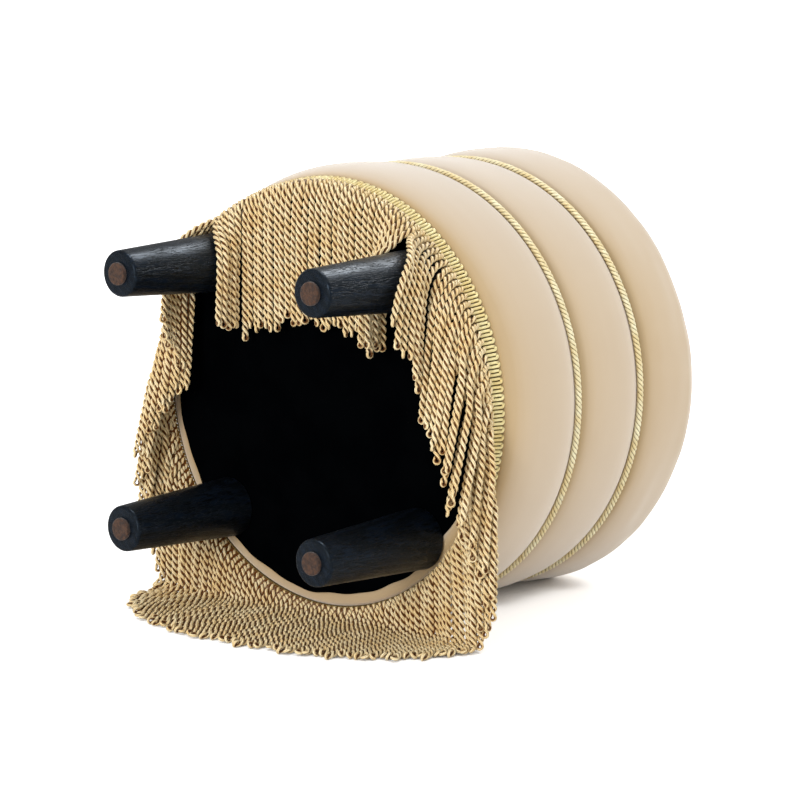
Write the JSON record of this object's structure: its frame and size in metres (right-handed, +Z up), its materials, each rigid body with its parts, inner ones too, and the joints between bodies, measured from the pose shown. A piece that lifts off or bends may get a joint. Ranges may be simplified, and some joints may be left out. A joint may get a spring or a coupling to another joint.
{
  "type": "tuffet",
  "caption": "Round velvet tuffet of stacked padded rolls with rope-trimmed seams, a twisted bullion fringe and tapered black legs, lying on its side.",
  "frame": {"origin": "on the floor under the middle of the bounding box, with the tuffet lying on its side", "axes": "+Z up, +Y along the drum's axis from the feet to the seat, +X to the right seen from the feet"},
  "size_m": [0.4312, 0.4874, 0.4258],
  "materials": {
    "velvet": "soft short-pile velvet",
    "foam": "open-cell upholstery foam",
    "timber": "plain sawn timber",
    "board": "plain sawn board",
    "wrap": "plain upholstery board",
    "stained_ash": "black stain, satin, open grain",
    "steel": "plain zinc-coated steel",
    "cambric": "black non-woven dust cover cloth",
    "gold_yarn": "twisted gold yarn with a soft sheen",
    "felt": "dense brown felt"
  },
  "bodies": {
    "root": {"base_board": "board", "cover_lower": "velvet", "cover_middle": "velvet", "cover_seat": "velvet", "drum_wrap": "wrap", "dust_cover": "cambric", "foam_lower": "foam", "foam_middle": "foam", "foam_seat_crown": "foam", "foam_seat_side": "foam", "foot_pad_lower_left": "felt", "foot_pad_lower_right": "felt", "foot_pad_upper_left": "felt", "foot_pad_upper_right": "felt", "fringe_bottom": "gold_yarn", "fringe_left": "gold_yarn", "fringe_right": "gold_yarn", "fringe_top": "gold_yarn", "hanger_bolt_lower_left": "steel", "hanger_bolt_lower_right": "steel", "hanger_bolt_upper_left": "steel", "hanger_bolt_upper_right": "steel", "leg_lower_left": "stained_ash", "leg_lower_right": "stained_ash", "leg_upper_left": "stained_ash", "leg_upper_right": "stained_ash", "post_1": "timber", "post_2": "timber", "post_3": "timber", "post_4": "timber", "post_5": "timber", "post_6": "timber", "rope_trim_lower": "gold_yarn", "rope_trim_upper": "gold_yarn", "seat_board": "board", "tee_nut_lower_left": "steel", "tee_nut_lower_right": "steel", "tee_nut_upper_left": "steel", "tee_nut_upper_right": "steel"}
  },
  "joints": []
}
